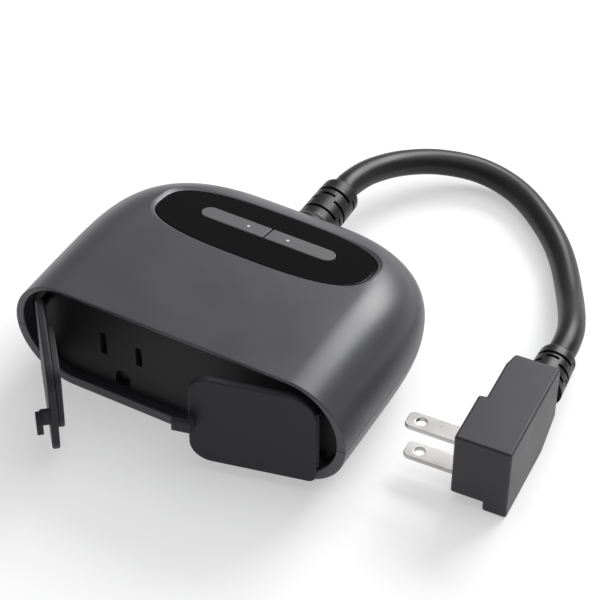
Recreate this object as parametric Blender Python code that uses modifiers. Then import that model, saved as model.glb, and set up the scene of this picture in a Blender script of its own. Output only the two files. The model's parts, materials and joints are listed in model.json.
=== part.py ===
"""An outdoor smart plug lying on its flat back: two covered outlets at the front, a control panel on
top, a cord and a right-angle plug behind.

The origin is the centre of the flat back. +Z points out of the back towards the control panel, -Y
points out of the outlets, and +Y follows the cord. Lengths are in millimetres until MM turns them
into Blender's metres.
"""

import math

import bmesh
import bpy
from mathutils import Matrix, Vector

MM = 0.001
GAP = 0.3

# Body
HALF_WIDTH = 57.4
HEIGHT = 42.4
MID_HEIGHT = 21.2
FRONT_Y = -42.0
REAR_Y = 41.9
SIDE_TAPER_Y = -12.4
TOP_TAPER_Y = -38.1
BACK_TAPER_Y = 21.8
END_ROUNDING = 18.5
WALL = 2.6
SEAM_Z = 20.0
MOUTH_SLANT = 3.3
HOLLOW_FRONT_Y = -33.2
STATION_Y = (-44, -37, -30, -22, -12, -2, 8, 16, 23, 28, 32.5, 36, 38.5, 40.3, 41.4)
ROUND_STEPS = 12

# Outlets
MOUTH_SIDE = 3.0
MOUTH_SILL = 3.8
MOUTH_BROW = 1.2
FACE_Y = -35.5
FACE_THICKNESS = 2.5
OUTLET_X = 22.5
OUTLET_Z = 20.2
SLOT_SPACING = 12.7
SLOT_WIDTH = 2.2
NEUTRAL_HEIGHT = 8.8
HOT_HEIGHT = 7.4
GROUND_DROP = 12.0
GROUND_RADIUS = 2.6

# Doors
HINGE_X = 47.6
HINGE_Y = -40.2
BARREL_RADIUS = 1.25
BARREL_HOLE = 0.7
PIN_RADIUS = 0.45
LUG_RADIUS = 1.15
HINGE_SKIN = 0.5
BARREL_Z = (11.8, 30.8)
LUG_Z = ((10.2, 11.5), (31.1, 32.4))
DOOR_X = (9.0, 48.2)
DOOR_Y = (-42.0, -39.6)
DOOR_Z = (4.2, 38.3)
DOOR_CORNER = 7.0
HINGE_LOW_CORNER = 2.5
HINGE_HIGH_CORNER = 9.0
SEAL_CORNERS = (11.0, 5.0, 5.0, 5.0)
REST_OPEN = {1: 13.5, -1: 51.0}
SIDE_NAME = {1: "right", -1: "left"}

# Control panel
PANEL_Y = 14.3
PANEL_Z = 37.95
PANEL_TILT = -11.7
PANEL_HALF = (37.0, 15.0)
PANEL_POWER = 2.9
PANEL_THICKNESS = 5.4
PANEL_FLANGE = 1.3
STRIP_Y = 1.6
STRIP_ARC_X = 20.3
STRIP_RADIUS = 3.3
BUTTON_TRAVEL = 0.8
BUTTON_RISE = 0.5
LED_X = 7.0

# Cord
CORD_Z = 17.5
CORD_RADIUS = 4.4
CORD_EXIT_Y = 65.5
CORD_ROUTE = (
    (0.0, 65.8, 17.5),
    (0.0, 72.0, 17.3),
    (2.0, 83.0, 15.4),
    (7.5, 95.5, 12.2),
    (17.0, 106.0, 9.0),
    (30.0, 111.6, 6.4),
    (44.0, 109.8, 4.8),
    (57.5, 101.0, 4.45),
    (71.0, 87.0, 4.45),
    (82.8, 67.0, 7.2),
    (90.2, 50.5, 12.0),
    (92.6, 41.0, 13.5),
    (93.04, 34.0, 13.6),
)

# Plug
PLUG_X = 93.6
PLUG_Y = -24.0
PLUG_YAW = 3.5
PLUG_RELIEF_X = 94.0
PLUG_RELIEF_Y = 18.4
PLUG_Z = (0.0, 27.0)
PLUG_AXIS_Z = 13.6
BLADE_SPACING = 12.7
BLADE_LENGTH = 17.7
BLADE_WIDTH = 6.35
BLADE_THICKNESS = 1.5

LOOKS = {
    "shell": ((0.155, 0.155, 0.165), 0.5, 0.0),
    "plate": ((0.032, 0.032, 0.035), 0.5, 0.0),
    "gloss": ((0.003, 0.003, 0.0035), 0.08, 0.0),
    "button": ((0.07, 0.07, 0.073), 0.5, 0.0),
    "rubber": ((0.02, 0.02, 0.022), 0.7, 0.0),
    "light": ((0.8, 0.85, 0.9), 0.3, 0.0),
    "board": ((0.01, 0.09, 0.03), 0.45, 0.0),
    "relay": ((0.01, 0.03, 0.12), 0.4, 0.0),
    "module": ((0.55, 0.55, 0.52), 0.35, 1.0),
    "tape": ((0.75, 0.6, 0.1), 0.5, 0.0),
    "brass": ((0.7, 0.5, 0.2), 0.3, 1.0),
    "nickel": ((0.75, 0.74, 0.72), 0.25, 1.0),
    "steel": ((0.5, 0.5, 0.5), 0.35, 1.0),
}


def start_scene():
    """Clears the scene and makes the collections for the parts and for their cutters."""
    for obj in list(bpy.data.objects):
        bpy.data.objects.remove(obj)
    made = []
    for name in ("Smart_plug", "Cutters"):
        collection = bpy.data.collections.new(name)
        bpy.context.scene.collection.children.link(collection)
        made.append(collection)
    return made


PARTS, CUTTERS = start_scene()


# Building blocks. Each returns an object in PARTS; a cutter is moved out by cut() and join().


def frame(name, place, angles=(0, 0, 0)):
    """An empty that holds the local axes of the pieces parented to it."""
    empty = bpy.data.objects.new(name, None)
    empty.location = Vector(place) * MM
    empty.rotation_euler = [math.radians(angle) for angle in angles]
    empty.empty_display_size = 5 * MM
    PARTS.objects.link(empty)
    return empty


def placed(name, mesh, parent=None):
    obj = bpy.data.objects.new(name, mesh)
    obj.parent = parent
    PARTS.objects.link(obj)
    return obj


def meshed(name, build, parent=None):
    """An object whose mesh is what build leaves in an empty bmesh, given in millimetres."""
    mesh = bpy.data.meshes.new(name)
    shape = bmesh.new()
    build(shape)
    bmesh.ops.scale(shape, vec=(MM, MM, MM), verts=shape.verts)
    bmesh.ops.recalc_face_normals(shape, faces=shape.faces)
    shape.to_mesh(mesh)
    shape.free()
    return placed(name, mesh, parent)


def box(name, low, high, parent=None):
    middle = (Vector(low) + Vector(high)) / 2
    size = Vector(high) - Vector(low)
    matrix = Matrix.Translation(middle) @ Matrix.Diagonal((*size, 1))
    return meshed(name, lambda shape: bmesh.ops.create_cube(shape, size=1, matrix=matrix), parent)


def rod(name, start, end, radius, parent=None, sides=20, tip_radius=None):
    """A cylinder from start to end, or a cone when tip_radius is given."""
    along = Vector(end) - Vector(start)
    turn = along.to_track_quat("Z", "Y").to_matrix().to_4x4()
    matrix = Matrix.Translation((Vector(start) + Vector(end)) / 2) @ turn
    tip = radius if tip_radius is None else tip_radius

    def build(shape):
        bmesh.ops.create_cone(
            shape, cap_ends=True, segments=sides, radius1=radius, radius2=tip,
            depth=along.length, matrix=matrix,
        )

    obj = meshed(name, build, parent)
    smooth(obj)
    return obj


def prism(name, outline, low, high, parent=None, turn=None):
    """A flat outline in local XY, filled and extruded from low to high along local Z."""
    curve = bpy.data.curves.new(name, "CURVE")
    curve.dimensions = "2D"
    curve.fill_mode = "BOTH"
    curve.extrude = (high - low) / 2 * MM
    spline = curve.splines.new("POLY")
    spline.points.add(len(outline) - 1)
    for point, (x, y) in zip(spline.points, outline):
        point.co = (x * MM, y * MM, 0, 1)
    spline.use_cyclic_u = True
    flat = bpy.data.objects.new(name + "_curve", curve)
    bpy.context.scene.collection.objects.link(flat)
    bpy.context.view_layer.update()
    mesh = bpy.data.meshes.new_from_object(flat.evaluated_get(bpy.context.evaluated_depsgraph_get()))
    bpy.data.objects.remove(flat)
    matrix = (turn or Matrix()) @ Matrix.Translation((0, 0, (low + high) / 2 * MM))
    shape = bmesh.new()
    shape.from_mesh(mesh)
    bmesh.ops.remove_doubles(shape, verts=shape.verts, dist=0.00001)
    bmesh.ops.transform(shape, matrix=matrix, verts=shape.verts)
    bmesh.ops.recalc_face_normals(shape, faces=shape.faces)
    shape.to_mesh(mesh)
    shape.free()
    return placed(name, mesh, parent)


def turned(name, profile, parent, sides=28):
    """A solid of revolution about local Z. The profile is (radius, height) pairs, top to bottom."""
    mesh = bpy.data.meshes.new(name)
    points = [(0, 0, profile[0][1])] + [(r, 0, z) for r, z in profile] + [(0, 0, profile[-1][1])]
    links = [(i, i + 1) for i in range(len(points) - 1)]
    mesh.from_pydata([Vector(point) * MM for point in points], links, [])
    obj = placed(name, mesh, parent)
    screw = obj.modifiers.new("Turn", "SCREW")
    screw.steps = screw.render_steps = sides
    screw.use_merge_vertices = True
    screw.merge_threshold = 0.00001
    return obj


def loft(name, rings, parent=None):
    """A closed skin over rings of equal point counts, capped at both ends."""

    def build(shape):
        loops = [[shape.verts.new(point) for point in ring] for ring in rings]
        for first, second in zip(loops, loops[1:]):
            for i, _ in enumerate(first):
                j = (i + 1) % len(first)
                shape.faces.new((first[i], first[j], second[j], second[i]))
        shape.faces.new(loops[0])
        shape.faces.new(loops[-1])

    return meshed(name, build, parent)


def smooth(obj, angle=35):
    obj.data.shade_smooth()
    obj.data.set_sharp_from_angle(angle=math.radians(angle))


def bevelled(obj, width, segments=2):
    bevel = obj.modifiers.new("Edges", "BEVEL")
    bevel.width = width * MM
    bevel.segments = segments
    bevel.limit_method = "ANGLE"
    bevel.angle_limit = math.radians(40)
    return obj


def combine(obj, other, operation):
    """Adds a Boolean and moves its other operand to the cutters."""
    boolean = obj.modifiers.new(operation.title() + "_" + other.name, "BOOLEAN")
    boolean.operation = operation
    boolean.object = other
    boolean.solver = "EXACT"
    if other.name in PARTS.objects:
        PARTS.objects.unlink(other)
        CUTTERS.objects.link(other)
    other.hide_render = True
    other.display_type = "WIRE"
    return obj


def cut(obj, *cutters):
    for cutter in cutters:
        combine(obj, cutter, "DIFFERENCE")
    return obj


def join(obj, *additions):
    for addition in additions:
        combine(obj, addition, "UNION")
    return obj


def finish(obj, look):
    """Gives the part its own material."""
    colour, roughness, metallic = LOOKS[look]
    material = bpy.data.materials.new(obj.name)
    material.use_nodes = True
    shader = material.node_tree.nodes["Principled BSDF"]
    shader.inputs["Base Color"].default_value = (*colour, 1)
    shader.inputs["Roughness"].default_value = roughness
    shader.inputs["Metallic"].default_value = metallic
    material.diffuse_color = (*colour, 1)
    obj.data.materials.clear()
    obj.data.materials.append(material)
    return obj


# Outlines


def arc(centre, radius, start, end, steps=8):
    """Points on an arc, with angles in degrees."""
    points = []
    for step in range(steps + 1):
        angle = math.radians(start + (end - start) * step / steps)
        points.append((centre[0] + radius * math.cos(angle), centre[1] + radius * math.sin(angle)))
    return points


def round_ended(half_width, low, high, middle, reach):
    """A section with a flat top and bottom and elliptic ends that reach in from each side."""
    points = []
    for side, start in ((1, -90), (-1, 90)):
        for x, z in arc((0, 0), 1, start, start + 180, ROUND_STEPS):
            height = (high - middle) if z > 0 else (middle - low)
            points.append((side * (half_width - reach) + reach * x, middle + height * z))
    return points


def rounded_box(x, z, radii):
    """A rectangle with a radius for each corner: low-left, low-right, high-right, high-left."""
    low_left, low_right, high_right, high_left = radii
    return (
        arc((x[0] + low_left, z[0] + low_left), low_left, 180, 270)
        + arc((x[1] - low_right, z[0] + low_right), low_right, 270, 360)
        + arc((x[1] - high_right, z[1] - high_right), high_right, 0, 90)
        + arc((x[0] + high_left, z[1] - high_left), high_left, 90, 180)
    )


def oval(half_x, half_y, power, steps=64):
    """A superellipse."""
    points = []
    for step in range(steps):
        x, y = math.cos(math.tau * step / steps), math.sin(math.tau * step / steps)
        points.append((
            math.copysign(half_x * abs(x) ** (2 / power), x),
            math.copysign(half_y * abs(y) ** (2 / power), y),
        ))
    return points


def pill(half_length, radius, centre_y=0.0):
    """A bar along X with round ends; half_length runs to the centres of the end arcs."""
    return arc((half_length, centre_y), radius, -90, 90) + arc((-half_length, centre_y), radius, 90, 270)


# Body surface


def falloff(y, start, end, power):
    """1 up to start, falling to 0 at end along a superellipse."""
    if y <= start:
        return 1.0
    return max(0.0, 1 - ((y - start) / (end - start)) ** power) ** (1 / power)


def body_ring(y, inset=0.0):
    """The body's section at y, or that of its hollow, inset by the wall."""
    at = y + inset
    width = HALF_WIDTH * falloff(at, SIDE_TAPER_Y, REAR_Y, 3.07) - inset
    top = MID_HEIGHT + (HEIGHT - MID_HEIGHT) * falloff(at, TOP_TAPER_Y, REAR_Y, 2.46) - inset
    low = MID_HEIGHT - MID_HEIGHT * falloff(at, BACK_TAPER_Y, REAR_Y, 2.2) + inset
    reach = min(END_ROUNDING - inset, 0.9 * width)
    return [(x, y, z) for x, z in round_ended(width, low, top, MID_HEIGHT, reach)]


def mouth_outline(inset=0.0):
    """The front opening, seen along Y."""
    low = MOUTH_SILL + inset
    high = HEIGHT - MOUTH_BROW - inset
    width = HALF_WIDTH - MOUTH_SIDE - inset
    reach = END_ROUNDING - MOUTH_SIDE - inset
    return round_ended(width, low, high, (low + high) / 2, reach)


# Turns a prism so that its outline lies in XZ and its extrusion runs along +Y.
ALONG_Y = Matrix(((1, 0, 0, 0), (0, 0, 1, 0), (0, 1, 0, 0), (0, 0, 0, 1)))
# Turns a prism so that its outline lies in YZ and its extrusion runs along +X.
ALONG_X = Matrix(((0, 0, 1, 0), (1, 0, 0, 0), (0, 1, 0, 0), (0, 0, 0, 1)))
SCREW_PLACES = ((41.0, -22.0), (-41.0, -22.0), (35.0, 24.0), (-35.0, 24.0))
SCREW_HEAD_Z = (2.6, 5.6)
SCREW_TOP = 29.0
FRONT_BOSS_TOP = 40.2
REAR_BOSS_TOP = 32.5
BOSS_RADIUS = 3.9


def panel_frame(name):
    return frame(name, (0, PANEL_Y, PANEL_Z), (PANEL_TILT, 0, 0))


def shell(name, low_z, high_z):
    """One half of the housing, between two heights."""
    obj = loft(name, [body_ring(y) for y in STATION_Y])
    combine(obj, box(name + "_keep", (-70, -60, low_z), (70, 60, high_z)), "INTERSECT")
    hollow = [y for y in STATION_Y if HOLLOW_FRONT_Y < y < REAR_Y - WALL - 1]
    rings = [body_ring(y, WALL) for y in (HOLLOW_FRONT_Y, *hollow, REAR_Y - WALL - 0.6)]
    cut(obj, loft(name + "_hollow", rings))
    cut(obj, prism(name + "_mouth", mouth_outline(), FRONT_Y - 4, FACE_Y + 2.8, turn=ALONG_Y))
    wedge = [(FRONT_Y + MOUTH_SLANT, -1), (FRONT_Y, HEIGHT), (FRONT_Y, 50), (-60, 50), (-60, -1)]
    cut(obj, prism(name + "_slant", wedge, -70, 70, turn=ALONG_X))
    cut(obj, rod(name + "_cord_hole", (0, 20, CORD_Z), (0, 60, CORD_Z), 6.7, sides=28))
    return obj


def front_shell():
    """The domed half, with the panel's opening and four screw bosses."""
    obj = shell("front_shell", SEAM_Z + 0.15, 60)
    for number, (x, y) in enumerate(SCREW_PLACES, 1):
        top = FRONT_BOSS_TOP if y < 0 else REAR_BOSS_TOP
        join(obj, rod(f"front_boss_{number}", (x, y, SEAM_Z + 0.4), (x, y, top), BOSS_RADIUS))
        cut(obj, rod(f"front_boss_hole_{number}", (x, y, 0), (x, y, SCREW_TOP + 1), 1.7, sides=12))
    parent = panel_frame("panel_opening")
    hole = oval(PANEL_HALF[0] + GAP, PANEL_HALF[1] + GAP, PANEL_POWER)
    cut(obj, prism("panel_hole", hole, -12, 8, parent))
    pocket = oval(PANEL_HALF[0] + PANEL_FLANGE + GAP, PANEL_HALF[1] + PANEL_FLANGE + GAP, PANEL_POWER)
    cut(obj, prism("panel_flange_pocket", pocket, -12, 1 + GAP - PANEL_THICKNESS, parent))
    rings = []
    for grow, height in ((0.2, -0.1), (2.3, 1.5), (2.35, 6.0)):
        outline = oval(PANEL_HALF[0] + grow, PANEL_HALF[1] + grow, PANEL_POWER)
        rings.append([(x, y, height) for x, y in outline])
    cut(obj, loft("panel_bezel", rings, parent))
    return finish(obj, "shell")


def rear_cover():
    """The flat-backed half, with a counterbored tower for each screw."""
    obj = shell("rear_cover", -1, SEAM_Z - 0.15)
    for number, (x, y) in enumerate(SCREW_PLACES, 1):
        join(obj, rod(f"rear_boss_{number}", (x, y, 1.2), (x, y, SEAM_Z - 0.4), BOSS_RADIUS))
        cut(
            obj,
            rod(f"rear_boss_hole_{number}", (x, y, -1), (x, y, 30), 1.7, sides=12),
            rod(f"rear_boss_bore_{number}", (x, y, -1), (x, y, SCREW_HEAD_Z[1] + GAP), 3.1, sides=16),
        )
    return finish(obj, "shell")


def housing_screws():
    for number, (x, y) in enumerate(SCREW_PLACES, 1):
        shank = rod(f"housing_screw_{number}", (x, y, 4), (x, y, SCREW_TOP), 1.3, sides=12)
        head = rod(f"screw_head_{number}", (x, y, SCREW_HEAD_Z[0]), (x, y, SCREW_HEAD_Z[1]), 2.7, sides=16)
        drive = box(f"screw_drive_{number}", (x - 2, y - 0.4, 2), (x + 2, y + 0.4, 3.6))
        finish(cut(join(shank, head), drive), "steel")


def seam_gaskets():
    """A strip on each side that backs the seam, from the outlets round to the cord."""
    width = 1.2
    for side in (1, -1):
        edges = []
        for inset in (WALL + 3 * GAP, WALL + 3 * GAP + width):
            line = []
            for step in range(15):
                y = FACE_Y + 6 + (REAR_Y - WALL - 6 - (FACE_Y + 6)) * math.sin(math.pi / 2 * step / 14)
                reach = HALF_WIDTH * falloff(y + inset, SIDE_TAPER_Y, REAR_Y, 3.07) - inset
                line.append((side * reach, y))
            edges.append(line)
        outline = edges[0] + edges[1][::-1]
        strip = prism(f"seam_gasket_{SIDE_NAME[side]}", outline, SEAM_Z - 1, SEAM_Z + 1)
        finish(strip, "rubber")


# Outlets


def receptacle_face():
    """The wall behind the doors, with two grounded outlets and the hinge lugs."""
    obj = prism("receptacle_face", mouth_outline(GAP), FACE_Y, FACE_Y + FACE_THICKNESS, turn=ALONG_Y)
    for side in (1, -1):
        name = SIDE_NAME[side]
        for number, (low, high) in enumerate(LUG_Z, 1):
            x = side * HINGE_X
            arm_low = (x - LUG_RADIUS, HINGE_Y, low)
            arm = box(f"{name}_lug_arm_{number}", arm_low, (x + LUG_RADIUS, FACE_Y + 1, high))
            join(obj, join(rod(f"{name}_lug_{number}", (x, HINGE_Y, low), (x, HINGE_Y, high), LUG_RADIUS), arm))
        pin = rod(f"{name}_lug_hole", (side * HINGE_X, HINGE_Y, 5), (side * HINGE_X, HINGE_Y, 38), BARREL_HOLE)
        cut(obj, pin)
        centre = side * OUTLET_X
        for slot, height, offset in (("neutral", NEUTRAL_HEIGHT, -1), ("hot", HOT_HEIGHT, 1)):
            x = centre + offset * SLOT_SPACING / 2
            low = (x - SLOT_WIDTH / 2, FACE_Y - 2, OUTLET_Z - height / 2)
            high = (x + SLOT_WIDTH / 2, FACE_Y + 6, OUTLET_Z + height / 2)
            cut(obj, box(f"{name}_{slot}_slot", low, high))
        ground_z = OUTLET_Z - GROUND_DROP
        outline = arc((centre, ground_z + 0.4), GROUND_RADIUS, 0, 180, 12)
        outline += [(centre - GROUND_RADIUS, ground_z - 3), (centre + GROUND_RADIUS, ground_z - 3)]
        cut(obj, prism(f"{name}_ground_hole", outline, FACE_Y - 2, FACE_Y + 6, turn=ALONG_Y))
    return finish(obj, "plate")


def contacts():
    """A forked spring contact behind each slot and each ground hole."""
    front = FACE_Y + FACE_THICKNESS + GAP
    for side in (1, -1):
        centre = side * OUTLET_X
        places = (
            ("neutral", centre - SLOT_SPACING / 2, OUTLET_Z, 4.4, 6.0, 1.4),
            ("hot", centre + SLOT_SPACING / 2, OUTLET_Z, 4.4, 6.0, 1.4),
            ("ground", centre, OUTLET_Z - GROUND_DROP, 6.4, 5.0, 3.6),
        )
        for kind, x, z, width, height, jaw in places:
            name = f"{SIDE_NAME[side]}_{kind}_contact"
            fork = box(name, (x - width / 2, front, z - height / 2), (x + width / 2, front + 10, z + height / 2))
            mouth = box(name + "_jaw", (x - jaw / 2, front - 1, z - 9), (x + jaw / 2, front + 8, z + 9))
            finish(cut(fork, mouth), "brass")


# Doors


def door_outline(side):
    """The plate in its closed place, seen along Y from the hinge axis."""
    near, far = DOOR_X
    low, high = DOOR_Z
    radii = (DOOR_CORNER, HINGE_LOW_CORNER, HINGE_HIGH_CORNER, DOOR_CORNER)
    return [(side * (x - HINGE_X), z) for x, z in rounded_box((near, far), (low, high), radii)]


def door_box(name, side, x, y, z, parent):
    """A box given by ranges in the closed place, on the right side's signs."""
    inner, outer = sorted((side * (x[0] - HINGE_X), side * (x[1] - HINGE_X)))
    return box(name, (inner, y[0] - HINGE_Y, z[0]), (outer, y[1] - HINGE_Y, z[1]), parent)


def door(side):
    """A door, its pull tab and hinge barrel, its seal and its pin, opened to its rest angle."""
    name = SIDE_NAME[side]
    hinge = frame(f"{name}_hinge", (side * HINGE_X, HINGE_Y, 0), (0, 0, side * REST_OPEN[side]))
    low, high = DOOR_Y[0] - HINGE_Y, DOOR_Y[1] - HINGE_Y
    plate = prism(f"{name}_door", door_outline(side), low, high, hinge, ALONG_Y)
    bevelled(plate, 0.6)
    near = DOOR_X[0]
    ridge = door_box(f"{name}_tab_ridge", side, (near + 0.5, near + 2.1), (-44.8, -41.0), (18.2, 24.0), hinge)
    pull = door_box(f"{name}_tab_pull", side, (near - 4.0, near + 2.1), (-46.2, -44.2), (19.0, 23.2), hinge)
    join(ridge, pull)
    bevelled(ridge, 0.3, 1)
    barrel = rod(f"{name}_barrel", (0, 0, BARREL_Z[0]), (0, 0, BARREL_Z[1]), BARREL_RADIUS, hinge)
    join(plate, barrel, ridge)
    for number, (low_z, high_z) in enumerate(LUG_Z, 1):
        reach = (HINGE_X - 2.6, HINGE_X + 4)
        depth = (DOOR_Y[0] + HINGE_SKIN, DOOR_Y[1] + 5)
        notch = (low_z - GAP, high_z + GAP)
        cut(plate, door_box(f"{name}_notch_{number}", side, reach, depth, notch, hinge))
    bore_low, bore_high = LUG_Z[0][0] - 2 * GAP, LUG_Z[1][1] + 2 * GAP
    cut(plate, rod(f"{name}_barrel_hole", (0, 0, bore_low), (0, 0, bore_high), BARREL_HOLE, hinge))
    finish(plate, "shell")

    pad_x = (DOOR_X[0] + 4, DOOR_X[1] - 9)
    pad_z = (DOOR_Z[0] + 2.6, DOOR_Z[1] - 4)
    outline = [(side * (x - HINGE_X), z) for x, z in rounded_box(pad_x, pad_z, SEAL_CORNERS)]
    seal = prism(f"{name}_door_seal", outline, high + GAP, high + GAP + 1.8, hinge, ALONG_Y)
    finish(bevelled(seal, 0.5, 1), "rubber")

    axis = (side * HINGE_X, HINGE_Y)
    pin = rod(f"{name}_hinge_pin", (*axis, LUG_Z[0][0] - 0.3), (*axis, LUG_Z[1][1] + 0.3), PIN_RADIUS, sides=16)
    finish(pin, "steel")


# Control panel


def control_panel():
    """The glossy oval, held by a flange behind the shell, with one opening for both buttons."""
    parent = panel_frame("panel_axes")
    panel = prism("control_panel", oval(*PANEL_HALF, PANEL_POWER), -PANEL_THICKNESS, 0, parent)
    flange_outline = oval(PANEL_HALF[0] + PANEL_FLANGE, PANEL_HALF[1] + PANEL_FLANGE, PANEL_POWER)
    join(panel, prism("panel_flange", flange_outline, -PANEL_THICKNESS, 1 - PANEL_THICKNESS, parent))
    cut(panel, prism("button_opening", pill(STRIP_ARC_X, STRIP_RADIUS + GAP, STRIP_Y), -12, 5, parent))
    finish(panel, "gloss")

    seal_low = -PANEL_THICKNESS - GAP - 0.6
    seal = prism("button_seal", pill(STRIP_ARC_X, STRIP_RADIUS + 2.4, STRIP_Y), seal_low, seal_low + 0.6, parent)
    finish(seal, "rubber")

    board_top = seal_low - 2.8
    board = box("control_board", (-31, -8, board_top - 1.4), (31, 11, board_top), parent)
    finish(board, "board")

    for side in (1, -1):
        button(side, parent)
        x = side * (STRIP_ARC_X - 8)
        low = (x - 3, STRIP_Y - 3, board_top + GAP)
        high = (x + 3, STRIP_Y + 3, seal_low - GAP)
        switch = box(f"switch_{SIDE_NAME[side]}", low, high, parent)
        finish(bevelled(switch, 0.3, 1), "steel")


def button(side, panel_axes):
    """Half of the strip, pressed along the panel's normal, with its light guide."""
    name = SIDE_NAME[side]
    parent = frame(f"button_{name}_axis", (0, 0, 0))
    parent.parent = panel_axes
    low = -PANEL_THICKNESS + BUTTON_TRAVEL + 0.2
    split = 0.25
    outline = arc((STRIP_ARC_X, STRIP_Y), STRIP_RADIUS, -90, 90)
    outline += [(split, STRIP_Y + STRIP_RADIUS), (split, STRIP_Y - STRIP_RADIUS)]
    outline = [(side * x, y) for x, y in outline]
    cap = prism(f"button_{name}", outline, low, BUTTON_RISE, parent)
    bevelled(cap, 0.3, 1)
    x = side * LED_X
    cut(cap, rod(f"led_hole_{name}", (x, STRIP_Y, -9), (x, STRIP_Y, 5), 1.0, parent, 16))
    finish(cap, "button")
    guide = rod(f"led_{name}", (x, STRIP_Y, low), (x, STRIP_Y, BUTTON_RISE), 0.7, parent, 16)
    finish(guide, "light")


# Electronics


def electronics():
    board_top = 7.8
    above = board_top + GAP
    finish(box("main_board", (-31, -18, board_top - 1.6), (31, 22, board_top)), "board")
    for side in (1, -1):
        low = (side * 20.5 - 7.5, -16, above)
        high = (side * 20.5 + 7.5, 4, above + 15.5)
        finish(bevelled(box(f"relay_{SIDE_NAME[side]}", low, high), 0.6, 1), "relay")

    core = box("power_transformer", (-9, -15, above), (9, 1, above + 12))
    winding = rod("transformer_winding", (0, -7, above + 5), (0, -7, above + 17), 7.5)
    finish(join(core, winding), "tape")

    finish(rod("filter_capacitor", (22, 12, above), (22, 12, above + 16), 5.0, sides=24), "relay")
    finish(rod("fuse", (-5, 8, above + 3), (13, 8, above + 3), 2.6, sides=16), "nickel")

    module = box("wifi_module", (-29, 6, above), (-10, 21, above + 0.8))
    can = box("wifi_can", (-27, 8, above + 0.5), (-15, 19, above + 3))
    finish(join(module, can), "module")


# Cord and plug


def ribbed_profile(start_radius, end_radius, length, grooves, groove_depth):
    """A tapering sleeve from z = length down to 0, with a round lip at its free end."""
    lip = 1.2
    profile = [
        (end_radius - lip, length),
        (end_radius - 0.35 * lip, length - 0.35 * lip),
        (end_radius, length - lip),
    ]
    for middle in grooves:
        for offset, depth in ((0.9, 0), (0.6, groove_depth), (-0.6, groove_depth), (-0.9, 0)):
            z = middle + offset
            radius = start_radius + (end_radius - start_radius) * z / length
            profile.append((radius - depth, z))
    profile.append((start_radius, 0.0))
    return profile


def strain_relief():
    """The sleeve at the body: a collar inside, a neck in the wall, a foot and a ribbed sleeve."""
    axis = frame("relief_axis", (0, 0, CORD_Z), (-90, 0, 0))
    foot_y = 42.3
    sleeve_y = 46.4
    sleeve = ribbed_profile(6.9, 6.6, CORD_EXIT_Y - sleeve_y, (15.0, 10.6, 6.2, 1.9), 0.9)
    profile = [(radius, z + sleeve_y) for radius, z in sleeve]
    profile += [(8.0, foot_y + 1.8), (8.4, foot_y + 0.9), (8.4, foot_y)]
    profile += [(6.4, foot_y), (6.4, 29), (8.4, 29), (8.4, 26)]
    finish(turned("strain_relief", profile, axis), "rubber")


def smooth_route(route, spacing):
    """Points an even spacing apart on a Catmull-Rom curve through the route, kept off the floor."""
    points = [Vector(point) for point in route]
    points = [2 * points[0] - points[1]] + points + [2 * points[-1] - points[-2]]
    dense = []
    for a, b, c, d in zip(points, points[1:], points[2:], points[3:]):
        for step in range(24):
            t = step / 24
            dense.append(
                0.5 * (2 * b + (c - a) * t + (2 * a - 5 * b + 4 * c - d) * t**2 + (3 * b - a - 3 * c + d) * t**3)
            )
    dense.append(points[-2])
    lengths = [0.0]
    for first, second in zip(dense, dense[1:]):
        lengths.append(lengths[-1] + (second - first).length)
    count = max(2, round(lengths[-1] / spacing))
    even = []
    for step in range(count + 1):
        wanted = lengths[-1] * step / count
        index = max(i for i, length in enumerate(lengths) if length <= wanted + 1e-6)
        index = min(index, len(dense) - 2)
        share = (wanted - lengths[index]) / (lengths[index + 1] - lengths[index])
        point = dense[index].lerp(dense[index + 1], share)
        point.z = max(point.z, CORD_RADIUS + 0.05)
        even.append(point)
    return even


def power_cord():
    """A tube along the route, with a short straight lead into each sleeve."""
    curve = bpy.data.curves.new("power_cord", "CURVE")
    curve.dimensions = "3D"
    curve.bevel_depth = CORD_RADIUS * MM
    curve.bevel_resolution = 3
    curve.use_fill_caps = True
    leads = [Vector(CORD_ROUTE[0]), Vector(CORD_ROUTE[-1])]
    points = [leads[0], *smooth_route(CORD_ROUTE[1:-1], 2 * 2 * CORD_RADIUS), leads[1]]
    spline = curve.splines.new("POLY")
    spline.points.add(len(points) - 1)
    for target, point in zip(spline.points, points):
        target.co = (*(point * MM), 1)
    finish(placed("power_cord", curve), "rubber")


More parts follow.
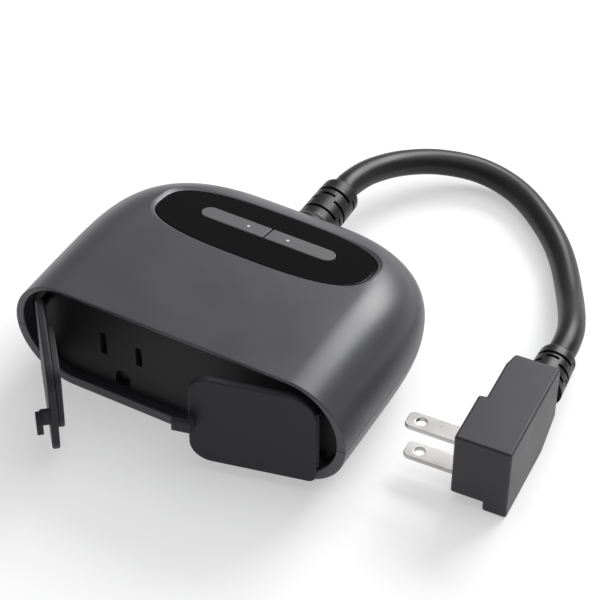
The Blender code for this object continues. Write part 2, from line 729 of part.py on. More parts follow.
def plug():
    """The right-angle plug on its side, its sleeve and its two blades."""
    axes = frame("plug_axes", (PLUG_X, PLUG_Y, 0), (0, 0, PLUG_YAW))
    plan = [(-9, 0), (9, 0), (9, 40.4), (7.4, 42), (-5, 42), (-6.6, 35), (-6.6, 19.6), (-9, 19.2)]
    body = prism("plug_body", plan, *PLUG_Z, axes)
    low, high = PLUG_Z
    side_view = [(-5, low - 5), (21.8, low - 5), (43.6, 8.4), (43.6, 22.4), (35.4, high + 5), (-5, high + 5)]
    combine(body, prism("plug_side_view", side_view, -30, 30, axes, ALONG_X), "INTERSECT")
    cut(body, box("plug_face_step", (-20, -5, -5), (1.3, 60, 3.4), axes))
    finish(bevelled(body, 0.8), "rubber")

    relief_axis = frame("plug_relief_axis", (PLUG_RELIEF_X, PLUG_RELIEF_Y, PLUG_AXIS_Z), (-90, 0, PLUG_YAW))
    relief_profile = ribbed_profile(6.7, 6.0, 15.1, (12.0, 8.6, 5.2, 1.8), 0.8)
    finish(turned("plug_relief", relief_profile, relief_axis, 24), "rubber")

    tip, width = BLADE_LENGTH, BLADE_WIDTH / 2
    plan = [(0, -width), (tip - 2, -width), (tip, -width + 1.8), (tip, width - 1.8), (tip - 2, width), (0, width)]
    outline = [(-9.3 - x, 7.1 + y) for x, y in plan]
    for name, z in (("hot", PLUG_AXIS_Z - BLADE_SPACING / 2), ("neutral", PLUG_AXIS_Z + BLADE_SPACING / 2)):
        half = BLADE_THICKNESS / 2
        blade = prism(f"{name}_blade", outline, z - half, z + half, axes)
        hole_x = -9.3 - (tip - 5)
        hole = rod(f"{name}_blade_hole", (hole_x, 7.1, z - 3), (hole_x, 7.1, z + 3), 1.7, axes, 16)
        finish(cut(blade, hole), "nickel")


front_shell()
rear_cover()
housing_screws()
seam_gaskets()
receptacle_face()
contacts()
door(1)
door(-1)
control_panel()
electronics()
strain_relief()
power_cord()
plug()
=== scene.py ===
"""The looks of an outdoor smart plug: fine meshes, materials, studio and camera around the CAD frame.

Lengths are in millimetres until MM turns them into Blender's metres. The body's formulas and
the cord's route repeat those of the CAD source.
"""

import json
import math

import bmesh
import bpy
from mathutils import Matrix, Vector


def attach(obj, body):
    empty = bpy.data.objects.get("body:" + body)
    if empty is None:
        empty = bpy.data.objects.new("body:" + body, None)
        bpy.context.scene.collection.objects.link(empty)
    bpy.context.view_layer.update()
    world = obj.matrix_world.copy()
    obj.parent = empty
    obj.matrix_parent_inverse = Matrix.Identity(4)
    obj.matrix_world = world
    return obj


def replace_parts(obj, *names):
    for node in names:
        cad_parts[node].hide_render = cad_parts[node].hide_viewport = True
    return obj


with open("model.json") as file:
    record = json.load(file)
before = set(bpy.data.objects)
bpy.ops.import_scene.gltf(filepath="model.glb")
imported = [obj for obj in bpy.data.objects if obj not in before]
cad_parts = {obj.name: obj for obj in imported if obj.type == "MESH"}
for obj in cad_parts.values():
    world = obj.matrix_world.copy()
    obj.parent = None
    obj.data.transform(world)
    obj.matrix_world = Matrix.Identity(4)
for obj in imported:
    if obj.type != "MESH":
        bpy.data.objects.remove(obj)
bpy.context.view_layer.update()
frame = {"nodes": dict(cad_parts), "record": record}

MM = 0.001
GAP = 0.3

# Body, as in the CAD source
HALF_WIDTH = 57.4
HEIGHT = 42.4
MID_HEIGHT = 21.2
FRONT_Y = -42.0
REAR_Y = 41.9
SIDE_TAPER_Y = -12.4
TOP_TAPER_Y = -38.1
BACK_TAPER_Y = 21.8
END_ROUNDING = 18.5
SEAM_Z = 20.0
SEAM_HALF_GAP = 0.13
MOUTH_SLANT = 3.3
MOUTH_SIDE = 3.0
MOUTH_SILL = 3.8
MOUTH_BROW = 1.2
RIM_FILLET = 0.45
FACE_Y = -35.5

# Doors
HINGE = (47.6, -40.2)
HINGE_SKIN = 0.5
BARREL_RADIUS = 1.25
BARREL_Z = (11.8, 30.8)
BARREL_HOLE = 0.7
LUG_Z = ((10.2, 11.5), (31.1, 32.4))
DOOR_X = (9.0, 48.2)
DOOR_Y = (-42.0, -39.6)
DOOR_Z = (4.2, 38.3)
DOOR_CORNER = 7.0
DOOR_CORNERS = (DOOR_CORNER, 2.5, 9.0, DOOR_CORNER)
SEAL_CORNERS = (11.0, 5.0, 5.0, 5.0)
REST_OPEN = {1: 13.5, -1: 51.0}
NOTCH_REACH = (-2.6, 4.0)
RIDGE_X = (0.5, 2.1)
RIDGE_Y = (-44.8, -41.0)
RIDGE_Z = (18.2, 24.0)
PULL_X = (-4.0, 2.1)
PULL_Y = (-46.2, -44.2)
PULL_Z = (19.0, 23.2)
SEAL_RIM = 1.8
SEAL_THICKNESS = 1.8
SEAL_WELL_CORNERS = (9.4, 3.4, 3.4, 3.4)
SIDE_NAME = {1: "right", -1: "left"}

# Control panel
PANEL = (0.0, 14.3, 37.95)
PANEL_TILT = -11.7
PANEL_HALF = (37.0, 15.0)
PANEL_POWER = 2.9
PANEL_THICKNESS = 5.4
STRIP_Y = 1.6
STRIP_ARC_X = 20.3
STRIP_RADIUS = 3.3
BUTTON_TRAVEL = 0.8
BUTTON_RISE = 0.5
LED_X = 7.0

# Cord and plug
CORD_Z = 17.5
CORD_RADIUS = 4.4
CORD_EXIT_Y = 65.5
FLOOR_CLEARANCE = 0.05
RELIEF_START_Y = 46.4
RELIEF_FOOT_Y = 42.3
RELIEF_ROOT_Y = 38.5
RELIEF_RADII = (6.9, 6.6)
RELIEF_FLARE = 1.5
RELIEF_ROOT_RADIUS = 6.4
SLEEVE_LIP = 1.3
SLOT_SPAN = 128
SLOT_WIDTH = 1.15
SIDE_SLOT_SPAN = 40
SIDE_SLOT_WIDTH = 1.0
SIDE_SLOT_OFFSET = 2.1
CORD_ROUTE = (
    (0.0, 65.8, 17.5),
    (0.0, 72.0, 17.3),
    (2.0, 83.0, 15.4),
    (7.5, 95.5, 12.2),
    (17.0, 106.0, 9.0),
    (30.0, 111.6, 6.4),
    (44.0, 109.8, 4.8),
    (57.5, 101.0, 4.45),
    (71.0, 87.0, 4.45),
    (82.8, 67.0, 7.2),
    (90.2, 50.5, 12.0),
    (92.6, 41.0, 13.5),
    (93.04, 34.0, 13.6),
)
PLUG = (93.6, -24.0)
PLUG_YAW = 3.5
PLUG_RELIEF = (94.0, 18.4)
PLUG_Z = (0.0, 27.0)
PLUG_AXIS_Z = 13.6
PLUG_PLAN = ((-9, 0), (9, 0), (9, 40.4), (7.4, 42), (-5, 42), (-6.6, 35), (-6.6, 19.6), (-9, 19.2))
PLUG_SLEEVE_RADII = (6.7, 6.0)
PLUG_SLEEVE_LENGTH = 15.1
BLADE_V = 7.1
BLADE_SPACING = 12.7
BLADE_ROOT = -9.3
BLADE_LENGTH = 17.7
BLADE_WIDTH = 6.35
BLADE_THICKNESS = 1.5
SCREW_PLACES = ((41.0, -22.0), (-41.0, -22.0), (35.0, 24.0), (-35.0, 24.0))

# Camera
CAMERA_TARGET = (3.94, 30.13, 0.0)
CAMERA_DISTANCE = 734.45
CAMERA_AZIMUTH = 28.3
CAMERA_ELEVATION = 42.91
CAMERA_ROLL = 0.67
CAMERA_LENS = 135.2

FLOOR_Z = -0.0002
FLOOR_GLOW = 0.43
WORLD_STRENGTH = 0.3


def camera():
    a, e, roll = (math.radians(x) for x in (CAMERA_AZIMUTH, CAMERA_ELEVATION, CAMERA_ROLL))
    right = Vector((math.cos(a), math.sin(a), 0))
    ahead = Vector((-math.sin(a) * math.cos(e), math.cos(a) * math.cos(e), -math.sin(e)))
    up = right.cross(ahead)
    turned_right = math.cos(roll) * right + math.sin(roll) * up
    turned_up = -math.sin(roll) * right + math.cos(roll) * up
    data = bpy.data.cameras.new("Camera")
    data.lens = CAMERA_LENS
    data.sensor_width = 36.0
    data.clip_start = 0.01
    obj = bpy.data.objects.new("Camera", data)
    place = (Vector(CAMERA_TARGET) - CAMERA_DISTANCE * ahead) * MM
    axes = Matrix((turned_right, turned_up, -ahead)).transposed().to_4x4()
    obj.matrix_world = Matrix.Translation(place) @ axes
    bpy.context.scene.collection.objects.link(obj)
    bpy.context.scene.camera = obj


# Materials


def node_material(name, colour, roughness, metallic=0.0):
    material = bpy.data.materials.new(name)
    material.use_nodes = True
    nodes = material.node_tree.nodes
    shader = nodes["Principled BSDF"]
    shader.inputs["Base Color"].default_value = (*colour, 1)
    shader.inputs["Roughness"].default_value = roughness
    shader.inputs["Metallic"].default_value = metallic
    return material, nodes, material.node_tree.links, shader


def noise(nodes, links, scale, detail=3.0, stretch=(1, 1, 1)):
    """Noise in the object's own metres, with scale in features per metre."""
    where = nodes.new("ShaderNodeTexCoord")
    mapping = nodes.new("ShaderNodeMapping")
    mapping.inputs["Scale"].default_value = stretch
    texture = nodes.new("ShaderNodeTexNoise")
    texture.inputs["Scale"].default_value = scale
    texture.inputs["Detail"].default_value = detail
    links.new(where.outputs["Object"], mapping.inputs["Vector"])
    links.new(mapping.outputs["Vector"], texture.inputs["Vector"])
    return texture


def ranged(nodes, links, source, low, high):
    node = nodes.new("ShaderNodeMapRange")
    node.inputs["From Min"].default_value = 0.3
    node.inputs["From Max"].default_value = 0.7
    node.inputs["To Min"].default_value = low
    node.inputs["To Max"].default_value = high
    links.new(source, node.inputs["Value"])
    return node.outputs["Result"]


def moulded(name, colour, roughness, grain=2200.0, depth=0.012, spread=0.05, tint=0.12, stretch=(1, 1, 1)):
    """Moulded plastic, rubber or metal: a fine grain, and soft changes of tone and of gloss."""
    metallic = 1.0 if name in METALS else 0.0
    material, nodes, links, shader = node_material(name, colour, roughness, metallic)
    fine = noise(nodes, links, grain, 2.0, stretch)
    bump = nodes.new("ShaderNodeBump")
    bump.inputs["Strength"].default_value = 0.35
    bump.inputs["Distance"].default_value = depth * MM
    links.new(fine.outputs["Fac"], bump.inputs["Height"])
    links.new(bump.outputs["Normal"], shader.inputs["Normal"])
    shader.inputs["Specular IOR Level"].default_value = SPECULAR.get(name, 0.5)
    broad = noise(nodes, links, 45.0, 4.0)
    low, high = roughness - spread, roughness + spread
    links.new(ranged(nodes, links, broad.outputs["Fac"], low, high), shader.inputs["Roughness"])
    ramp = nodes.new("ShaderNodeValToRGB")
    ramp.color_ramp.elements[0].position = 0.3
    ramp.color_ramp.elements[1].position = 0.7
    ramp.color_ramp.elements[0].color = (*(c * (1 - tint) for c in colour), 1)
    ramp.color_ramp.elements[1].color = (*(c * (1 + tint) for c in colour), 1)
    links.new(broad.outputs["Fac"], ramp.inputs["Fac"])
    links.new(ramp.outputs["Color"], shader.inputs["Base Color"])
    return material


METALS = {"blade", "contact", "steel", "module"}
SPECULAR = {
    "panel": 0.12,
    "shell": 0.5,
    "door": 0.25,
    "receptacle": 0.25,
    "cord_jacket": 0.35,
    "plug": 0.35,
}
MATERIALS = {
    "shell": moulded("shell", (0.05, 0.05, 0.056), 0.37, 2600, 0.02, 0.03, 0.05),
    "door": moulded("door", (0.02, 0.02, 0.024), 0.52, 2600, 0.02, 0.03, 0.05),
    "receptacle": moulded("receptacle", (0.016, 0.016, 0.018), 0.5, 2600, 0.02, 0.04, 0.06),
    "panel": moulded("panel", (0.0012, 0.0012, 0.0014), 0.16, 900, 0.001, 0.02, 0.1),
    "button": moulded("button", (0.075, 0.075, 0.078), 0.5, 3000, 0.01, 0.03, 0.04),
    "light_guide": moulded("light_guide", (0.6, 0.62, 0.65), 0.3, 3000, 0.002, 0.05, 0.05),
    "seal": moulded("seal", (0.02, 0.02, 0.022), 0.62, 1800, 0.02, 0.05, 0.1),
    "cord_jacket": moulded("cord_jacket", (0.008, 0.008, 0.009), 0.4, 1500, 0.012, 0.05, 0.1),
    "plug": moulded("plug", (0.026, 0.025, 0.029), 0.42, 2400, 0.02, 0.04, 0.06),
    "blade": moulded("blade", (0.5, 0.49, 0.48), 0.3, 500, 0.004, 0.06, 0.04, (0.06, 1, 1)),
    "contact": moulded("contact", (0.62, 0.45, 0.2), 0.35, 900, 0.004, 0.06, 0.1),
    "board": moulded("board", (0.01, 0.09, 0.03), 0.4, 700, 0.01, 0.05, 0.1),
    "relay": moulded("relay", (0.01, 0.03, 0.12), 0.4, 1500, 0.01, 0.05, 0.06),
    "winding_tape": moulded("winding_tape", (0.6, 0.45, 0.08), 0.45, 700, 0.02, 0.08, 0.1),
    "module": moulded("module", (0.55, 0.55, 0.53), 0.32, 700, 0.004, 0.06, 0.06),
    "steel": moulded("steel", (0.42, 0.42, 0.42), 0.35, 900, 0.004, 0.08, 0.1),
}


def dress(obj, slot, body):
    """Gives a piece its material, its slot and the body that it rides on."""
    obj.data.materials.clear()
    obj.data.materials.append(MATERIALS[slot])
    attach(obj, body)
    return obj


def dress_frame():
    """Gives every CAD node the material of its slot."""
    slots = {entry["node"]: entry["material_slot"] for entry in frame["record"]["subparts"]}
    for node, obj in frame["nodes"].items():
        obj.data.materials.clear()
        obj.data.materials.append(MATERIALS[slots[node]])


# Mesh building


def linked(name, mesh):
    obj = bpy.data.objects.new(name, mesh)
    bpy.context.scene.collection.objects.link(obj)
    return obj


def meshed(name, build, matrix=None):
    """An object whose mesh build leaves in an empty bmesh, in millimetres, then moved by matrix."""
    mesh = bpy.data.meshes.new(name)
    shape = bmesh.new()
    build(shape)
    if matrix is not None:
        bmesh.ops.transform(shape, matrix=matrix, verts=shape.verts)
    bmesh.ops.scale(shape, vec=(MM, MM, MM), verts=shape.verts)
    bmesh.ops.recalc_face_normals(shape, faces=shape.faces)
    shape.to_mesh(mesh)
    shape.free()
    return linked(name, mesh)


def skin(shape, rings):
    """A closed skin over rings of equal point counts."""
    loops = [[shape.verts.new(point) for point in ring] for ring in rings]
    for first, second in zip(loops, loops[1:]):
        for i, _ in enumerate(first):
            j = (i + 1) % len(first)
            shape.faces.new((first[i], first[j], second[j], second[i]))
    shape.faces.new(loops[0])
    shape.faces.new(loops[-1])


def prism(name, outline, low, high, matrix=None):
    rings = [[(x, y, z) for x, y in outline] for z in (low, high)]
    return meshed(name, lambda shape: skin(shape, rings), matrix)


def box(name, low, high, matrix=None):
    corners = [(low[0], low[1]), (high[0], low[1]), (high[0], high[1]), (low[0], high[1])]
    return prism(name, corners, low[2], high[2], matrix)


def turned(name, profile, matrix, sides=96):
    """A solid of revolution about local Z, from (radius, height) pairs, closed at both ends."""
    rings = []
    for radius, z in profile:
        angles = (math.tau * step / sides for step in range(sides))
        rings.append([(radius * math.cos(a), radius * math.sin(a), z) for a in angles])
    return meshed(name, lambda shape: skin(shape, rings), matrix)


def disc_rod(name, centre, low, high, radius, matrix=None, sides=48):
    outline = arc(centre, radius, 0, 360 - 360 / sides, sides - 1)
    return prism(name, outline, low, high, matrix)


def combine(obj, operation, *others):
    for other in others:
        boolean = obj.modifiers.new(other.name, "BOOLEAN")
        boolean.operation = operation
        boolean.object = other
        boolean.solver = "EXACT"
        settle_modifiers(obj)
        bpy.data.objects.remove(other)
    return obj


def settle_modifiers(obj):
    bpy.context.view_layer.update()
    graph = bpy.context.evaluated_depsgraph_get()
    mesh = bpy.data.meshes.new_from_object(obj.evaluated_get(graph))
    obj.modifiers.clear()
    obj.data = mesh


def cut(obj, *others):
    return combine(obj, "DIFFERENCE", *others)


def join(obj, *others):
    return combine(obj, "UNION", *others)


def round_edges(obj, width, segments=3, angle=35):
    bevel = obj.modifiers.new("Edges", "BEVEL")
    bevel.width = width * MM
    bevel.segments = segments
    bevel.limit_method = "ANGLE"
    bevel.angle_limit = math.radians(angle)
    bevel.harden_normals = False
    settle_modifiers(obj)
    return obj


def shaded(obj, angle=32):
    """Smooth shading that breaks at real edges, weighted towards the large faces."""
    obj.data.shade_smooth()
    obj.data.set_sharp_from_angle(angle=math.radians(angle))
    normals = obj.modifiers.new("Normals", "WEIGHTED_NORMAL")
    normals.keep_sharp = True
    return obj


# Outlines


def arc(centre, radius, start, end, steps=20):
    points = []
    for step in range(steps + 1):
        angle = math.radians(start + (end - start) * step / steps)
        points.append((centre[0] + radius * math.cos(angle), centre[1] + radius * math.sin(angle)))
    return points


def rounded_box(x, y, radii):
    """A rectangle with a radius for each corner: low-left, low-right, high-right, high-left."""
    points = []
    corners = ((x[0], y[0], 180), (x[1], y[0], 270), (x[1], y[1], 0), (x[0], y[1], 90))
    for (cx, cy, start), radius in zip(corners, radii):
        centre = (cx + math.copysign(radius, sum(x) / 2 - cx), cy + math.copysign(radius, sum(y) / 2 - cy))
        points += arc(centre, radius, start, start + 90)
    return points


def round_ended(half_width, low, high, middle, reach, steps=36, flats=24):
    """A section with a flat top and bottom, in flats equal pieces, and elliptic ends."""
    points = []
    for side, start in ((1, -90), (-1, 90)):
        for x, z in arc((0, 0), 1, start, start + 180, steps):
            height = (high - middle) if z > 0 else (middle - low)
            points.append((side * (half_width - reach) + reach * x, middle + height * z))
        last_x, last_z = points[-1]
        for flat in range(1, flats):
            points.append((last_x * (1 - 2 * flat / flats), last_z))
    return points


def oval(half_x, half_y, power=PANEL_POWER, steps=160):
    points = []
    for step in range(steps):
        x, y = math.cos(math.tau * step / steps), math.sin(math.tau * step / steps)
        points.append((
            math.copysign(half_x * abs(x) ** (2 / power), x),
            math.copysign(half_y * abs(y) ** (2 / power), y),
        ))
    return points


def pill(half_length, radius, centre_y=0.0):
    return arc((half_length, centre_y), radius, -90, 90) + arc((-half_length, centre_y), radius, 90, 270)


# Housing


def falloff(y, start, end, power):
    if y <= start:
        return 1.0
    return max(0.0, 1 - ((y - start) / (end - start)) ** power) ** (1 / power)


def body_section(y):
    width = HALF_WIDTH * falloff(y, SIDE_TAPER_Y, REAR_Y, 3.07)
    top = MID_HEIGHT + (HEIGHT - MID_HEIGHT) * falloff(y, TOP_TAPER_Y, REAR_Y, 2.46)
    low = MID_HEIGHT - MID_HEIGHT * falloff(y, BACK_TAPER_Y, REAR_Y, 2.2)
    reach = min(END_ROUNDING, 0.97 * width)
    return round_ended(width, low, top, MID_HEIGHT, reach)


def mouth_y(z):
    """The slanted plane of the front opening."""
    return FRONT_Y + MOUTH_SLANT * (1 - z / HEIGHT)


def mouth_section():
    low = MOUTH_SILL
    high = HEIGHT - MOUTH_BROW
    return round_ended(
        HALF_WIDTH - MOUTH_SIDE, low, high, (low + high) / 2, END_ROUNDING - MOUTH_SIDE
    )


def body_rings():
    """Rings from the tip of the rear, forward over the outside, round the rim and into the recess."""
    rings = []
    count = 72
    for step in range(count + 1):
        share = 1 - step / count
        y = FRONT_Y + (REAR_Y - 0.01 - FRONT_Y) * (1 - (1 - share) ** 2.4)
        y = max(y, FRONT_Y + RIM_FILLET)
        lean = max(0.0, 1 - (y - FRONT_Y) / 16)
        rings.append([(x, y + lean * (mouth_y(z) - FRONT_Y), z) for x, z in body_section(y)])
    outer = body_section(FRONT_Y)
    inner = mouth_section()
    steps = 5
    for first, last, end in ((0, 90, "outer"), (90, 0, "inner")):
        for step in range(steps + 1):
            angle = math.radians(first + (last - first) * step / steps)
            ring = []
            for (ox, oz), (ix, iz) in zip(outer, inner):
                o, i = Vector((ox, oz)), Vector((ix, iz))
                along = (i - o).normalized()
                fillet = min(RIM_FILLET, 0.4 * (i - o).length)
                inset = fillet * (1 - math.cos(angle))
                x, z = o + inset * along if end == "outer" else i - inset * along
                ring.append((x, mouth_y(oz) + fillet * (1 - math.sin(angle)), z))
            rings.append(ring)
    rings.append([(x, FACE_Y + 2.8, z) for x, z in inner])
    return rings


def half_body(name, keep_above):
    """The whole body cut at the seam, keeping one side."""
    obj = meshed(name, lambda shape: skin(shape, body_rings()))
    shape = bmesh.new()
    shape.from_mesh(obj.data)
    seam = (SEAM_Z + (SEAM_HALF_GAP if keep_above else -SEAM_HALF_GAP)) * MM
    made = bmesh.ops.bisect_plane(
        shape, geom=shape.verts[:] + shape.edges[:] + shape.faces[:], dist=1e-7,
        plane_co=(0, 0, seam), plane_no=(0, 0, 1), clear_inner=keep_above, clear_outer=not keep_above,
    )
    edges = [item for item in made["geom_cut"] if isinstance(item, bmesh.types.BMEdge)]
    bmesh.ops.holes_fill(shape, edges=edges)
    bmesh.ops.recalc_face_normals(shape, faces=shape.faces)
    shape.to_mesh(obj.data)
    shape.free()
    return obj


def panel_matrix():
    return Matrix.Translation(PANEL) @ Matrix.Rotation(math.radians(PANEL_TILT), 4, "X")


def housing():
    front = half_body("front_shell_skin", True)
    axes = panel_matrix()
    cut(front, prism("panel_hole", oval(PANEL_HALF[0] + GAP, PANEL_HALF[1] + GAP), -8, 8, axes))
    rings = []
    for grow, height in ((0.2, -0.1), (0.7, 0.05), (1.5, 0.5), (2.3, 1.5), (2.4, 6.0)):
        rings.append([(x, y, height) for x, y in oval(PANEL_HALF[0] + grow, PANEL_HALF[1] + grow)])
    cut(front, meshed("panel_bezel", lambda shape: skin(shape, rings), axes))
    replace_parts(dress(shaded(front), "shell", "housing"), "front_shell")

    rear = half_body("rear_cover_skin", False)
    for x, y in SCREW_PLACES:
        cut(rear, disc_rod("bore", (x, y), -2, 5.9, 3.1))
    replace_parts(dress(shaded(rear), "shell", "housing"), "rear_cover")


# Doors

ALONG_Y = Matrix(((1, 0, 0, 0), (0, 0, 1, 0), (0, 1, 0, 0), (0, 0, 0, 1)))
ALONG_X = Matrix(((0, 0, 1, 0), (1, 0, 0, 0), (0, 1, 0, 0), (0, 0, 0, 1)))


def door_range(side, values):
    return sorted(side * (value - HINGE[0]) for value in values)


def door_box(name, side, x, y, z, matrix):
    x = door_range(side, x)
    return box(name, (x[0], y[0] - HINGE[1], z[0]), (x[1], y[1] - HINGE[1], z[1]), matrix)


def door(side):
    """A door leaf with its pull tab and hinge barrel, and the seal inside it."""
    name = SIDE_NAME[side]
    hinge = Matrix.Translation((side * HINGE[0], HINGE[1], 0))
    hinge = hinge @ Matrix.Rotation(math.radians(side * REST_OPEN[side]), 4, "Z")
    low, high = DOOR_Y[0] - HINGE[1], DOOR_Y[1] - HINGE[1]
    outline = rounded_box(DOOR_X, DOOR_Z, DOOR_CORNERS)
    outline = [(side * (x - HINGE[0]), z) for x, z in outline]
    leaf = round_edges(prism(f"{name}_door_leaf", outline, low, high, hinge @ ALONG_Y), 0.6, 4)
    near = DOOR_X[0]
    ridge_x, pull_x = ([near + x for x in reach] for reach in (RIDGE_X, PULL_X))
    ridge = door_box("ridge", side, ridge_x, RIDGE_Y, RIDGE_Z, hinge)
    pull = door_box("pull", side, pull_x, PULL_Y, PULL_Z, hinge)
    tab = round_edges(join(ridge, pull), 0.3, 3)
    barrel = disc_rod("barrel", (0, 0), *BARREL_Z, BARREL_RADIUS, hinge)
    join(leaf, round_edges(barrel, 0.2, 2), tab)
    for lug in LUG_Z:
        reach = [HINGE[0] + x for x in NOTCH_REACH]
        depth = (DOOR_Y[0] + HINGE_SKIN, DOOR_Y[1] + 5)
        cut(leaf, door_box("notch", side, reach, depth, (lug[0] - GAP, lug[1] + GAP), hinge))
    bore = (LUG_Z[0][0] - 2 * GAP, LUG_Z[1][1] + 2 * GAP)
    cut(leaf, disc_rod("bore", (0, 0), *bore, BARREL_HOLE, hinge))
    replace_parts(dress(shaded(leaf), "door", f"{name}_door"), f"{name}_door")

    pad_x, pad_z = (DOOR_X[0] + 4, DOOR_X[1] - 9), (DOOR_Z[0] + 2.6, DOOR_Z[1] - 4)
    outline = [(side * (x - HINGE[0]), z) for x, z in rounded_box(pad_x, pad_z, SEAL_CORNERS)]
    seal = prism(f"{name}_seal_pad", outline, high + 0.1, high + GAP + SEAL_THICKNESS, hinge @ ALONG_Y)
    well_x, well_z = ((pad[0] + SEAL_RIM, pad[1] - SEAL_RIM) for pad in (pad_x, pad_z))
    well = [(side * (x - HINGE[0]), z) for x, z in rounded_box(well_x, well_z, SEAL_WELL_CORNERS)]
    cut(seal, prism("well", well, high + GAP + 1.0, high + 5, hinge @ ALONG_Y))
    round_edges(seal, 0.35, 3)
    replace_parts(dress(shaded(seal), "seal", f"{name}_door"), f"{name}_door_seal")


# Control panel


def control_panel():
    axes = panel_matrix()
    plate = prism("panel_gloss", oval(*PANEL_HALF), -PANEL_THICKNESS, 0, axes)
    round_edges(plate, 0.35, 4, 60)
    cut(plate, prism("opening", pill(STRIP_ARC_X, STRIP_RADIUS + GAP, STRIP_Y), -12, 5, axes))
    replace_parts(dress(shaded(plate), "panel", "housing"), "control_panel")
    low = -PANEL_THICKNESS + BUTTON_TRAVEL + 0.2
    for side in (1, -1):
        name = SIDE_NAME[side]
        outline = arc((STRIP_ARC_X, STRIP_Y), STRIP_RADIUS, -90, 90, 32)
        outline += [(0.22, STRIP_Y + STRIP_RADIUS), (0.22, STRIP_Y - STRIP_RADIUS)]
        cap = prism(f"button_{name}_cap", [(side * x, y) for x, y in outline], low, BUTTON_RISE, axes)
        round_edges(cap, 0.35, 4, 50)
        x = side * LED_X
        cut(cap, disc_rod("hole", (x, STRIP_Y), low - 1, 5, 0.62, axes))
        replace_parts(dress(shaded(cap), "button", f"button_{name}"), f"button_{name}")
        lens = disc_rod(f"led_{name}_lens", (x, STRIP_Y), low, BUTTON_RISE - 0.02, 0.55, axes)
        round_edges(lens, 0.12, 2)
        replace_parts(dress(shaded(lens), "light_guide", f"button_{name}"), f"led_{name}")


# Cord


def smooth_route(route, steps=5):
    """Points on a Catmull-Rom curve through the route, kept off the floor."""
    points = [Vector(point) for point in route]
    points = [2 * points[0] - points[1]] + points + [2 * points[-1] - points[-2]]
    dense = []
    for a, b, c, d in zip(points, points[1:], points[2:], points[3:]):
        for step in range(steps):
            t = step / steps
            square = 2 * a - 5 * b + 4 * c - d
            cube = 3 * b - a - 3 * c + d
            dense.append(0.5 * (2 * b + (c - a) * t + square * t**2 + cube * t**3))
    dense.append(points[-2])
    for point in dense:
        point.z = max(point.z, CORD_RADIUS + FLOOR_CLEARANCE)
    return dense


def power_cord():
    curve = bpy.data.curves.new("cord_jacket_tube", "CURVE")
    curve.dimensions = "3D"
    curve.bevel_depth = CORD_RADIUS * MM
    curve.bevel_resolution = 12
    curve.use_fill_caps = True
    points = smooth_route(CORD_ROUTE)
    spline = curve.splines.new("POLY")
    spline.points.add(len(points) - 1)
    for target, point in zip(spline.points, points):
        target.co = (*(point * MM), 1)
    spline.use_smooth = True
    length = sum((b - a).length for a, b in zip(points, points[1:])) * MM
    cord = dress(linked("cord_jacket_tube", curve), "cord_jacket", "housing")
    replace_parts(cord, "power_cord")
    return cord, length


def arc_slot(name, z, width, inner, outer, middle, span, matrix):
    """A cutter for part of a groove: a sector of a ring about local Z."""
    start, end = middle - span / 2, middle + span / 2
    outline = arc((0, 0), inner, start, end, 16) + arc((0, 0), outer, end, start, 16)
    return prism(name, outline, z - width / 2, z + width / 2, matrix)


def ribbed_sleeve(name, matrix, start_radius, end_radius, length, grooves, depth, node, foot=()):
    """A tapering sleeve along local Z with rows of slots, alternate rows turned by a quarter."""
    lip = SLEEVE_LIP
    profile = []
    for step in range(9):
        angle = math.radians(90 - 90 * step / 8)
        profile.append((end_radius - lip + lip * math.cos(angle), length - lip + lip * math.sin(angle)))
    profile.append((start_radius, 0.0))
    profile += list(foot)
    sleeve = turned(name, profile, matrix)
    cutters = []
    for row, z in enumerate(grooves):
        radius = start_radius + (end_radius - start_radius) * z / length
        wide, narrow = (90, 0) if row % 2 == 0 else (0, 90)
        for centre in (wide, wide + 180):
            slot = ("slot", z, SLOT_WIDTH, radius - depth, radius + 3, centre, SLOT_SPAN, matrix)
            cutters.append(arc_slot(*slot))
        for centre in (narrow, narrow + 180):
            z_side = z + SIDE_SLOT_OFFSET
            if z_side < length - 2:
                slot = ("slot", z_side, SIDE_SLOT_WIDTH, radius - depth, radius + 3, centre)
                cutters.append(arc_slot(*slot, SIDE_SLOT_SPAN, matrix))
    cut(sleeve, *cutters)
    round_edges(sleeve, 0.18, 2, 50)
    dress(shaded(sleeve), "cord_jacket", "housing")
    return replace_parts(sleeve, node)


def sleeves():
    start, end = RELIEF_RADII
    matrix = Matrix.Translation((0, RELIEF_START_Y, CORD_Z)) @ Matrix.Rotation(math.radians(-90), 4, "X")
    foot = []
    for step in range(7):
        share = step / 6
        foot.append((start + RELIEF_FLARE * share**2, -(RELIEF_START_Y - RELIEF_FOOT_Y - 1.0) * share))
    foot_z, root_z = RELIEF_FOOT_Y - RELIEF_START_Y, RELIEF_ROOT_Y - RELIEF_START_Y
    flare = start + RELIEF_FLARE
    foot += [(flare, foot_z + 0.3), (flare - 0.3, foot_z)]
    foot += [(RELIEF_ROOT_RADIUS, foot_z), (RELIEF_ROOT_RADIUS, root_z)]
    length = CORD_EXIT_Y - RELIEF_START_Y
    rows = (3.2, 8.2, 13.2)
    ribbed_sleeve("relief_sleeve", matrix, start, end, length, rows, 1.1, "strain_relief", foot)
    matrix = Matrix.Translation((*PLUG_RELIEF, PLUG_AXIS_Z))
    matrix = matrix @ Matrix.Rotation(math.radians(PLUG_YAW), 4, "Z")
    matrix = matrix @ Matrix.Rotation(math.radians(-90), 4, "X")
    size = (*PLUG_SLEEVE_RADII, PLUG_SLEEVE_LENGTH)
    return ribbed_sleeve("plug_sleeve", matrix, *size, (2.6, 6.6, 10.6), 1.0, "plug_relief")


# Plug


def plug_axes():
    return Matrix.Translation((*PLUG, 0)) @ Matrix.Rotation(math.radians(PLUG_YAW), 4, "Z")


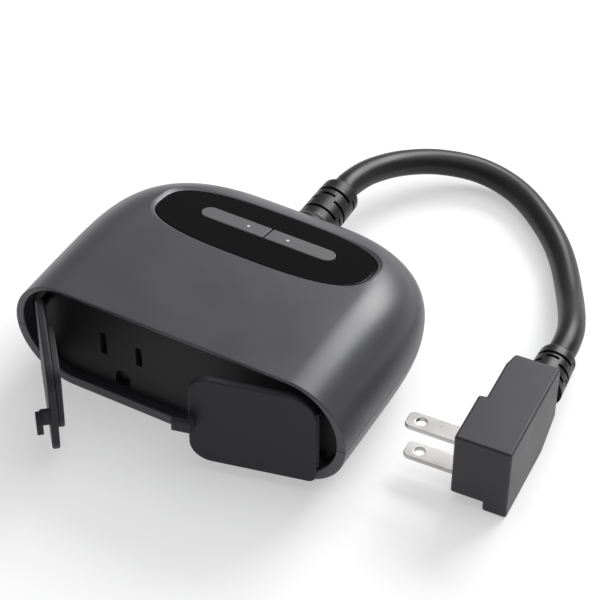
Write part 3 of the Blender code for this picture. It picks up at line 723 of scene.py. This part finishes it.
def plug():
    axes = plug_axes()
    low, high = PLUG_Z
    body = prism("plug_moulding", PLUG_PLAN, low, high, axes)
    side_view = [(-5, low - 5), (21.8, low - 5), (43.6, 8.4)]
    side_view += [(43.6, 22.4), (35.4, high + 5), (-5, high + 5)]
    combine(body, "INTERSECT", prism("side_view", side_view, -30, 30, axes @ ALONG_X))
    cut(body, box("face_step", (-20, -5, -5), (1.3, 60, 3.4), axes))
    round_edges(body, 0.8, 4)
    pieces = [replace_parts(dress(shaded(body), "plug", "housing"), "plug_body")]

    tip, width = BLADE_LENGTH, BLADE_WIDTH / 2
    nose = arc((tip - 2.4, -width + 2.0), 2.0, -90, -20, 6) + arc((tip - 2.4, width - 2.0), 2.0, 20, 90, 6)
    plan = [(-0.6, -width)] + nose + [(-0.6, width)]
    outline = [(BLADE_ROOT - x, BLADE_V + y) for x, y in plan]
    for name, side in (("hot", -1), ("neutral", 1)):
        z = PLUG_AXIS_Z + side * BLADE_SPACING / 2
        half = BLADE_THICKNESS / 2
        blade = prism(f"{name}_blade_plated", outline, z - half, z + half, axes)
        hole = disc_rod("hole", (BLADE_ROOT - tip + 5, BLADE_V), z - 3, z + 3, 1.7, axes)
        round_edges(cut(blade, hole), 0.22, 3, 50)
        pieces.append(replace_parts(dress(shaded(blade), "blade", "housing"), f"{name}_blade"))
    return pieces


# Studio


def area_light(name, place, target, size, power, colour=(1, 1, 1)):
    data = bpy.data.lights.new(name, "AREA")
    data.shape = "RECTANGLE"
    data.size, data.size_y = size
    data.energy = power
    data.color = colour
    obj = bpy.data.objects.new(name, data)
    obj.location = place
    aim = Vector(target) - Vector(place)
    obj.rotation_euler = aim.to_track_quat("-Z", "Y").to_euler()
    bpy.context.scene.collection.objects.link(obj)


def studio():
    floor = meshed("studio_floor", lambda shape: bmesh.ops.create_grid(shape, size=3000))
    floor.location.z = FLOOR_Z
    material, _, _, shader = node_material("floor_paper", (0.55, 0.55, 0.553), 0.9)
    shader.inputs["Emission Color"].default_value = (1, 1, 1, 1)
    shader.inputs["Emission Strength"].default_value = FLOOR_GLOW
    floor.data.materials.append(material)
    world = bpy.data.worlds.new("studio_world")
    bpy.context.scene.world = world
    world.use_nodes = True
    background = world.node_tree.nodes["Background"]
    background.inputs["Color"].default_value = (0.97, 0.98, 1.0, 1)
    background.inputs["Strength"].default_value = WORLD_STRENGTH
    area_light("overhead", (0.25, 0.35, 1.3), (0, 0.02, 0), (1.4, 1.4), 9)
    area_light("back_softbox", (0.2, 1.15, 0.85), (0, 0.05, 0.02), (0.9, 0.5), 19)
    area_light("left_strip", (-0.9, -0.35, 0.5), (0, 0, 0.02), (0.3, 0.9), 0.6)
    bpy.context.scene.view_settings.view_transform = "Standard"


camera()
cord, cord_length = power_cord()
plug_sleeve = sleeves()
plug_pieces = plug()
dress_frame()
housing()
door(1)
door(-1)
control_panel()
studio()
